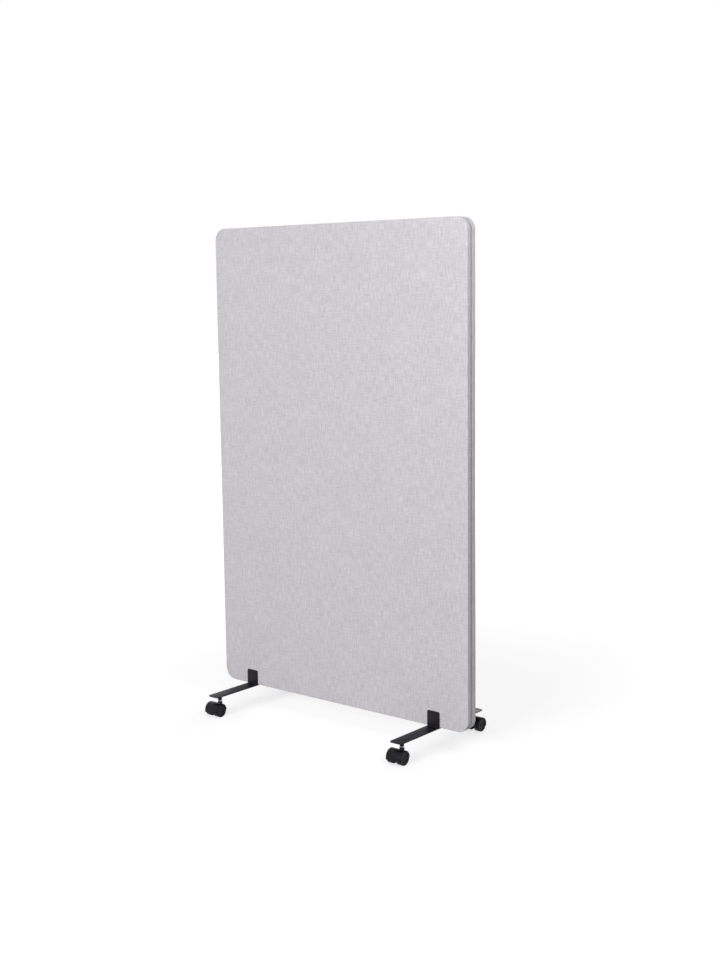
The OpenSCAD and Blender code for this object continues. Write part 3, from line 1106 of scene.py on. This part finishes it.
@dataclass
class Feet:
    """The two flat-bar feet with their tabs, screws and caster bosses."""
    finishes: Finishes
    foot_x: float = FOOT_X
    bar_width: float = 45 * MM
    bar_length: float = 418 * MM
    bar_low: float = 64 * MM
    bar_high: float = PANEL_BOTTOM
    end_radius: float = 10 * MM
    broken_edge: float = 0.45 * MM
    tab_thick: float = 3 * MM
    tab_height: float = 48 * MM
    tab_radius: float = 5 * MM
    panel_half: float = PANEL_HALF
    bead: float = 2.2 * MM
    bead_inset: float = 0.6 * MM
    bead_cuts: int = 71
    bead_end: float = 0.45
    sink: float = 0.8 * MM
    ripple: float = 2.4 * MM
    ripple_depth: float = 0.14
    ripple_lean: float = 0.25
    ripple_curve: float = 0.7
    screw_pitch: float = SCREW_PITCH
    screw: float = 6 * MM
    screw_length: float = 24 * MM
    screw_chamfer: float = 0.6 * MM
    hole_clear: float = 0.3 * MM
    head: float = 10.5 * MM
    head_height: float = 3.3 * MM
    head_edge: float = 0.2 * MM
    head_arc: tuple[float, float] = (8, 76)
    head_steps: int = 8
    key: float = 4 * MM
    key_depth: float = 1.8 * MM
    stem_y: float = STEM_Y
    boss: float = 13 * MM
    boss_low: float = 48.5 * MM
    boss_chamfer: float = 0.5 * MM
    bore: float = 8.1 * MM
    bore_chamfer: float = 0.4 * MM
    fillet: float = 1.1 * MM

    def paint(self, piece: Workpiece, node: str) -> None:
        """Paints a piece and hangs it on the root body in its node's place."""
        piece.hand_over(self.finishes.paint, "powder_coat", "root", node)

    def screw_spots(self, side: Side) -> list[Vector]:
        """The middles of a foot's two screw holes, under the bar."""
        return [Vector((side.sign * self.foot_x + way * self.screw_pitch / 2, 0, self.bar_low))
                for way in (-1, 1)]

    def bar(self, side: Side) -> None:
        """Cuts one flat bar, rounds its ends, breaks its edges and drills it.

        Args:
            side: The foot that it belongs to.
        """
        x = side.sign * self.foot_x
        piece = Workpiece.block(
            f"{side.value}_foot_bar_painted",
            Vector((x - self.bar_width / 2, -self.bar_length / 2, self.bar_low)),
            Vector((x + self.bar_width / 2, self.bar_length / 2, self.bar_high)))
        piece.soften(lambda m, d: along(d, Z), self.end_radius, segments=9)
        piece.soften(lambda m, d: square_to(d, Z), self.broken_edge, segments=2)
        for spot in self.screw_spots(side):
            through = Z * (self.bar_high - self.bar_low + 2 * MM)
            piece.cut(Workpiece.rod("drill", self.screw / 2 + self.hole_clear, spot - Z * MM,
                                    spot + through, sides=40))
        self.paint(piece.tidy(), f"{side.value}_foot_bar")

    def bead_along(self, x: float, row: Row) -> Workpiece:
        """Runs a weld bead with its ripples along a tab's foot.

        Args:
            x: The middle of the tab.
            row: The panel's face that the tab stands on.

        Returns:
            The bead, which still has to be joined to its tab.
        """
        y = row.sign * (self.panel_half + self.tab_thick)
        half = self.bar_width / 2 - self.bead_inset
        low, high = Vector((x - half, y, self.bar_high)), Vector((x + half, y, self.bar_high))
        piece = Workpiece.rod("bead", self.bead, low, high, sides=24)
        with piece.editing():
            piece.pick(Part.EDGES, lambda m, d: along(d, X))
            bpy.ops.mesh.subdivide(number_cuts=self.bead_cuts)
            mesh = bmesh.from_edit_mesh(piece.obj.data)
            for vertex in mesh.verts:
                out = Vector((0, vertex.co.y - y, vertex.co.z - self.bar_high))
                if out.length < self.bead / 2:
                    continue
                lean = self.ripple_lean * abs(out.normalized().z)
                phase = (vertex.co.x - low.x) / self.ripple + lean
                wave = abs(math.sin(math.pi * phase)) ** self.ripple_curve
                end = min(1.0, (half - abs(vertex.co.x - x)) / self.bead + self.bead_end)
                swell = (1 - self.ripple_depth + self.ripple_depth * wave) * end
                vertex.co.y = y + out.y * swell
                vertex.co.z = self.bar_high + out.z * swell
            bmesh.update_edit_mesh(piece.obj.data)
        return piece

    def tab(self, side: Side, row: Row) -> None:
        """Cuts one upright tab, rounds it and joins the weld bead to it.

        Args:
            side: The foot that it stands on.
            row: The panel's face that it stands on.
        """
        x, low, high = side.sign * self.foot_x, self.bar_high, self.bar_high + self.tab_height
        near, far = row.sign * self.panel_half, row.sign * (self.panel_half + self.tab_thick)
        piece = Workpiece.block(
            f"{side.value}_{row.value}_upright_painted",
            Vector((x - self.bar_width / 2, min(near, far), low)),
            Vector((x + self.bar_width / 2, max(near, far), high)))
        piece.soften(lambda m, d: along(d, Y) and m.z > high - MM, self.tab_radius, segments=7)
        piece.soften(lambda m, d: square_to(d, Y) and m.z > low + WELD, self.broken_edge,
                     segments=2)
        bead = self.bead_along(x, row)
        inner, outer = sorted((far - row.sign * self.sink, far + row.sign * 2 * self.bead))
        room = Workpiece.block("room", Vector((x - self.bar_width, inner, low)),
                               Vector((x + self.bar_width, outer, low + 2 * self.bead)))
        self.paint(piece.unite(bead.combine(room, "INTERSECT")).tidy(),
                   f"{side.value}_{row.value}_upright")

    def screws(self, side: Side) -> None:
        """Turns one foot's two button-head screws and cuts their hex sockets.

        Args:
            side: The foot that they hold.
        """
        r, h, shank, chamfer = self.head / 2, self.head_height, self.screw / 2, self.screw_chamfer
        start, end = (math.radians(a) for a in self.head_arc)
        crown = [(r * math.cos(a), -h * math.sin(a)) for a in
                 (start + (end - start) * k / self.head_steps for k in range(self.head_steps + 1))]
        profile = [(0, self.screw_length), (shank - chamfer, self.screw_length),
                   (shank, self.screw_length - chamfer), (shank, 0),
                   (r - self.head_edge, 0)] + crown + [(0, -h * math.sin(end))]

        def screw(spot: Vector) -> Workpiece:
            """Turns one of the screws at its hole and cuts its socket."""
            piece = Workpiece.turned(f"{side.value}_foot_screws_plated", profile, spot, Z, X,
                                     steps=50)
            return piece.cut(Workpiece.rod("key", self.key / 2 * HEXAGON, spot - Z * 8 * MM,
                                           spot - Z * (h - self.key_depth), sides=6))

        first, second = self.screw_spots(side)
        screw(first).unite(screw(second)).tidy().hand_over(
            self.finishes.zinc, "zinc_steel", "root", f"{side.value}_foot_screws")

    def bosses(self, side: Side) -> None:
        """Turns the two welded bosses under a bar's ends.

        Args:
            side: The foot that they belong to.
        """
        r, low, high, bore = self.boss / 2, self.boss_low, self.bar_low, self.bore / 2
        ring = [(bore, high), (bore, low + self.bore_chamfer), (bore + self.bore_chamfer, low),
                (r - self.boss_chamfer, low), (r, low + self.boss_chamfer)]
        ring += arc((r + self.fillet, high - self.fillet), self.fillet, 180, 90, 4)

        def boss(row: Row) -> Workpiece:
            """Turns the boss under one end of the bar."""
            spot = Vector((side.sign * self.foot_x, row.sign * self.stem_y, 0))
            return Workpiece.turned(f"{side.value}_caster_bosses_painted", ring + ring[:1], spot,
                                    Z, X)

        self.paint(boss(Row.FRONT).unite(boss(Row.REAR)), f"{side.value}_caster_bosses")

    def build(self) -> None:
        """Makes both feet and dresses their threaded inserts."""
        for side in Side:
            self.bar(side)
            for row in Row:
                self.tab(side, row)
            self.screws(side)
            self.bosses(side)
            dress(f"{side.value}_foot_inserts", self.finishes.brass)


# ---------------------------------------------------------------- the casters


@dataclass
class Casters:
    """Four hooded twin-wheel casters, each piece modelled once with its stem at the origin."""
    finishes: Finishes
    foot_x: float = FOOT_X
    stem_y: float = STEM_Y
    trail: float = 20 * MM
    wheel_r: float = 21 * MM
    wheel_w: float = 18 * MM
    wheel_gap: float = 18 * MM
    chamfer: float = 0.3 * MM
    hub_r: float = 5 * MM
    axle_end: float = 13.4 * MM
    disc: float = 3.5 * MM
    tread: float = 2.6 * MM
    rim: float = 3 * MM
    inner_round: float = 0.8 * MM
    outer_round: float = 2 * MM
    # The step inside the rim, as distances in from it and down from the wheel's side.
    rim_step: Outline = ((0, 0.2 * MM), (0.8 * MM, 1.4 * MM), (1.2 * MM, 1.5 * MM))
    # The ring groove and the hub cap, as radii and distances down from the wheel's side.
    cap_step: Outline = ((7.6 * MM, 1.1 * MM), (7.2 * MM, 1.3 * MM), (6.4 * MM, 1.3 * MM),
                         (6.0 * MM, 0.95 * MM), (5.6 * MM, 0.6 * MM), (2.0 * MM, 0.45 * MM),
                         (0, 0.45 * MM))
    ribs: int = 8
    wheel_steps: int = 96
    hood_in: float = 21.8 * MM
    hood_out: float = 23.4 * MM
    hood_half: float = 26.5 * MM
    hood_edge: float = 1.1 * MM
    skirt: float = 7 * MM
    web: float = 4 * MM
    web_bite: float = 0.8 * MM
    boss_r: float = 6 * MM
    boss_half: float = 8.6 * MM
    socket_r: float = 7.57 * MM
    socket_floor: float = 4 * MM
    socket_round: float = 0.9 * MM
    spare_bore: float = 2 * MM
    pocket_play: float = 0.4 * MM
    axle_play: float = 0.05 * MM
    moulded_edge: float = 0.5 * MM
    pintle_low: float = 24 * MM
    neck_top: float = 45.2 * MM
    stem_r: float = 4 * MM
    groove_r: float = 3.35 * MM
    hex_flat: float = 13 * MM
    hex_low: float = 45.5 * MM
    hex_high: float = 48.5 * MM
    hex_edges: Range = (0.55 * MM, 0.2 * MM)
    stem_top: float = 63.6 * MM
    stem_chamfer: float = 0.7 * MM
    ring_low: float = 29 * MM
    ring_high: float = 30.2 * MM
    groove_play: float = 0.05 * MM
    axle_r: float = 2.5 * MM
    run: float = 0.07 * MM

    @property
    def hub(self) -> Vector:
        """The middle of the axle."""
        return Vector((0, -self.trail, self.wheel_r))

    def places(self) -> Iterator[tuple[Row, Side, Matrix]]:
        """Says where the casters stand.

        Yields:
            Each one's row, side and place. The rear ones trail backwards.
        """
        for row in Row:
            turn = Matrix.Rotation(0.0 if row is Row.FRONT else math.pi, 4, "Z")
            for side in Side:
                place = Vector((side.sign * self.foot_x, row.sign * self.stem_y, 0))
                yield row, side, Matrix.Translation(place) @ turn

    def shell(self) -> Workpiece:
        """Spins the hood's half-round shell and pulls its skirt down.

        Returns:
            The shell, with its lower edges rounded.
        """
        w, e, out, c = self.hood_half, self.hood_edge, self.hood_out, self.chamfer
        section = [(self.hood_in, -w + c), (self.hood_in + c, -w)]
        section += arc((out - e, -w + e), e, -90, 0, 4) + arc((out - e, w - e), e, 0, 90, 4)
        section += [(self.hood_in + c, w), (self.hood_in, w - c)]
        shell = Workpiece.turned("hood", section + section[:1], self.hub, X, Y,
                                 steps=44, sweep=math.pi)
        axle, cut = self.hub.y, self.wheel_r

        def lower_edge(middle: Vector, line: Vector) -> bool:
            """Whether an edge runs across the foot of the shell's front or of its skirt."""
            foot = cut if middle.y > axle else cut - self.skirt
            return along(line, X) and abs(middle.z - foot) < WELD

        with shell.editing():
            shell.pick(Part.FACES, lambda m, d: m.y < axle and abs(m.z - cut) < WELD)
            bpy.ops.mesh.extrude_region_move(TRANSFORM_OT_translate={"value": -Z * self.skirt})
        shell.soften(lower_edge, self.moulded_edge, segments=3)
        return shell

    def hood(self) -> Workpiece:
        """Moulds the hood: shell, web, axle boss and the stem's socket, with their bores.

        Returns:
            The hood.
        """
        shell, hub = self.shell(), self.hub
        web = Workpiece.rod("web", self.hood_in + self.web_bite, hub - X * self.web / 2,
                            hub + X * self.web / 2, sides=72)
        with web.editing():
            web.all_selected()
            bpy.ops.mesh.bisect(plane_co=hub - Z * self.skirt, plane_no=Z,
                                use_fill=True, clear_inner=True)
        r, b, e = self.boss_r, self.boss_half, self.moulded_edge
        boss = Workpiece.turned(
            "boss", [(0, -b), (r - e, -b), (r, -b + e), (r, b - e), (r - e, b), (0, b)],
            hub, X, Y, steps=48)
        r, e, top = self.socket_r, self.socket_round, self.neck_top
        low = self.pintle_low - self.socket_floor
        socket = Workpiece.turned(
            "socket", [(0, low), (r - MM, low), (r, low + MM)]
            + arc((r - e, top - e), e, 0, 90, 4) + [(0, top)], Vector(), Z, X)
        shell.unite(web).unite(boss).unite(socket)
        for name, radius, start, end in (
                ("bore", self.stem_r + self.run, Z * (self.pintle_low - self.spare_bore),
                 Z * (top + MM)),
                ("pocket", self.stem_r + MM, Z * (self.ring_low - self.pocket_play),
                 Z * (self.ring_high + self.pocket_play)),
                ("axle_bore", self.axle_r + self.axle_play, hub - X * 10 * MM,
                 hub + X * 10 * MM)):
            shell.cut(Workpiece.rod(name, radius, start, end))
        return shell.tidy()

    def wheel_profile(self) -> list[tuple[float, float]]:
        """Draws half a wheel's section, from the bore's end round to its outer face.

        Returns:
            Pairs of radius and distance from the wheel's inner side.
        """
        r, w, c, hub, bore = (self.wheel_r, self.wheel_w, self.chamfer, self.hub_r,
                              self.axle_r + self.run)
        floor, tread, rim = w - self.disc, r - self.tread, r - self.rim
        inside = [(0, self.axle_end), (bore, self.axle_end), (bore, c), (bore + c, 0),
                  (hub - c, 0), (hub, c), (hub, floor), (tread, floor), (tread, c),
                  (tread + c, 0)]
        near, far = self.inner_round, self.outer_round
        outside = arc((r - near, near), near, -90, 0, 4) + arc((r - far, w - far), far, 0, 90)
        face = [(rim + c, w)] + [(rim - inwards, w - down) for inwards, down in self.rim_step]
        face += [(radius, w - down) for radius, down in self.cap_step]
        return inside + outside + face

    def wheel(self) -> Workpiece:
        """Turns one wheel and pulls up the ribs inside it.

        Returns:
            The wheel on the axle's +X side, with its outer face to +X.
        """
        start = self.hub + X * self.wheel_gap / 2
        floor = self.wheel_w - self.disc
        piece = Workpiece.turned("wheel", self.wheel_profile(), start, X, Y, self.wheel_steps)
        step = 2 * math.pi / self.ribs
        half_rib = self.ribs / self.wheel_steps / 2

        def on_rib(middle: Vector, normal: Vector) -> bool:
            """Says which faces of the hollow's floor carry a rib.

            Args:
                middle: The face's middle.
                normal: Its normal.

            Returns:
                Whether it does.
            """
            out = middle - start
            turn = math.atan2(out.z, out.y) / step + half_rib
            return (along(normal, X) and abs(out.x - floor) < WELD
                    and abs(turn - round(turn)) < half_rib + 1e-4)

        with piece.editing():
            piece.pick(Part.FACES, on_rib)
            bpy.ops.mesh.extrude_region_move(
                TRANSFORM_OT_translate={"value": -X * (floor - MM)})
        return piece

    def stem(self) -> Workpiece:
        """Turns the stem, with the chamfered hexagon and the snap ring's groove.

        Returns:
            The stem.
        """
        r, c, top = self.stem_r, self.stem_chamfer, self.stem_top
        ring_low, ring_high = self.ring_low - self.groove_play, self.ring_high + self.groove_play
        shank = Workpiece.turned(
            "stem", [(0, self.pintle_low), (r - MM, self.pintle_low), (r, self.pintle_low + MM),
                     (r, ring_low), (self.groove_r, ring_low), (self.groove_r, ring_high),
                     (r, ring_high), (r, top - c), (r - c, top), (0, top)], Vector(), Z, X)
        flat, low, high = self.hex_flat / 2, self.hex_low, self.hex_high
        lower, upper = self.hex_edges
        head = Workpiece.rod("head", flat * HEXAGON, Z * low, Z * high, sides=6)
        beyond = flat * HEXAGON + 0.1 * MM
        cone = Workpiece.turned(
            "cone", [(0, low), (flat, low), (beyond, low + lower), (beyond, high - upper),
                     (beyond - 0.3 * MM, high), (0, high)], Vector(), Z, X, steps=96)
        return shank.unite(head.combine(cone, "INTERSECT")).tidy()

    def build(self) -> None:
        """Models each piece once and sets a copy at all four places."""
        hood, wheel, stem = self.hood(), self.wheel(), self.stem()
        to_hub = Matrix.Translation(self.hub)
        other_side = to_hub @ Matrix.Rotation(math.pi, 4, "Z") @ to_hub.inverted()
        for row, side, place in self.places():
            name = f"{row.value}_{side.value}"
            stem.copy(f"{name}_stem_plated", place).hand_over(
                self.finishes.zinc, "zinc_steel", "root", f"{name}_stem")
            hood.copy(f"{name}_hood_moulding", place).hand_over(
                self.finishes.hood, "hood_nylon", f"{name}_swivel", f"{name}_hood")
            for which, outwards in (("outer", side.sign), ("inner", -side.sign)):
                turn = Matrix() if outwards * row.sign < 0 else other_side
                wheel.copy(f"{name}_{which}_wheel_moulding", place @ turn).hand_over(
                    self.finishes.wheel, "wheel_nylon", f"{name}_{which}_wheel",
                    f"{name}_{which}_wheel")
            dress(f"{name}_snap_ring", self.finishes.spring)
            dress(f"{name}_axle", self.finishes.steel)
        for piece in (hood, wheel, stem):
            piece.scrap()


# ---------------------------------------------------------------- the studio


@dataclass(frozen=True)
class Lamp:
    """One soft light."""
    name: str
    place: tuple[float, float, float]
    aim: tuple[float, float, float]
    size: tuple[float, float]
    watts: float

    def hang(self) -> None:
        """Hangs the light at its place and turns it to its aim."""
        data = bpy.data.lights.new(self.name, "AREA")
        data.shape, data.energy = "RECTANGLE", self.watts
        data.size, data.size_y = self.size
        lamp = bpy.data.objects.new(self.name, data)
        place = Vector(self.place)
        way = Vector(self.aim) - place
        lamp.matrix_world = Matrix.Translation(place) @ way.to_track_quat(
            "-Z", "Y").to_matrix().to_4x4()
        bpy.context.scene.collection.objects.link(lamp)
        log.info("%s: %.0f W", self.name, self.watts)


@dataclass
class Studio:
    """White floor, soft lights and the camera of the photograph."""
    finishes: Finishes
    eye: tuple[float, float, float] = (2.7349, -3.1974, 1.3583)
    yaw: float = 39.672
    pitch: float = 7.828
    roll: float = -0.707
    lens: float = 51.203
    sensor: float = 36
    sight: float = 100
    floor_size: float = 40.0
    sky: float = 0.38
    lamps: tuple[Lamp, ...] = (
        Lamp("key_light", (0.4, -6.5, 2.8), (0, 0, 0.9), (3.5, 3.0), 290),
        Lamp("fill_light", (6.0, -5.0, 4.5), (0, 0, 0.9), (2.5, 2.5), 77),
        Lamp("back_light", (-1.1, 6.5, 2.8), (0, 0, 0.9), (3.5, 3.0), 140),
        Lamp("side_light", (1.35, -0.35, 1.9), (0.5, 0, 1.4), (0.5, 0.5), 5))

    def camera(self) -> None:
        """Sets the camera where the photograph was taken from."""
        yaw, pitch, roll = (math.radians(a) for a in (self.yaw, self.pitch, self.roll))
        ahead = Vector((-math.sin(yaw) * math.cos(pitch), math.cos(yaw) * math.cos(pitch),
                        -math.sin(pitch)))
        right = Vector((math.cos(yaw), math.sin(yaw), 0))
        up = right.cross(ahead)
        side = right * math.cos(roll) + up * math.sin(roll)
        top = up * math.cos(roll) - right * math.sin(roll)
        data = bpy.data.cameras.new("photograph")
        data.lens = self.lens
        data.sensor_width = data.sensor_height = self.sensor
        data.clip_end = self.sight
        camera = bpy.data.objects.new("photograph", data)
        camera.matrix_world = Matrix.Translation(self.eye) @ Matrix(
            (side, top, -ahead)).transposed().to_4x4()
        bpy.context.scene.collection.objects.link(camera)
        bpy.context.scene.camera = camera
        log.info("camera %.2f mm at %s", self.lens, self.eye)

    def floor(self) -> None:
        """Lays the floor."""
        deselect()
        bpy.ops.mesh.primitive_plane_add(size=self.floor_size)
        floor = bpy.context.object
        floor.name = "studio_floor"
        floor.data.materials.append(self.finishes.floor)

    def world(self) -> None:
        """Lights from all round, and shows white where the background is seen."""
        t = ShaderTree("studio", world=True)
        strength = t.spread(t.shown(), WHOLE, (self.sky, 1.0))
        bpy.context.scene.world = t.end(t.node("Background", {
            "Color": (1.0, 1.0, 1.0), "Strength": strength}))

    def build(self) -> None:
        """Sets up the whole studio."""
        self.camera()
        self.floor()
        self.world()
        for lamp in self.lamps:
            lamp.hang()
        bpy.context.scene.view_settings.view_transform = "Standard"


# ---------------------------------------------------------------- the order of work


def main() -> None:
    """Builds the studio and the partition, piece by piece."""
    logging.basicConfig(level=logging.INFO, format="%(name)s: %(message)s", stream=sys.stdout)
    finishes = Finishes()
    Studio(finishes).build()
    Panel(finishes).build()
    Feet(finishes).build()
    Casters(finishes).build()


if __name__ == "__main__":
    main()
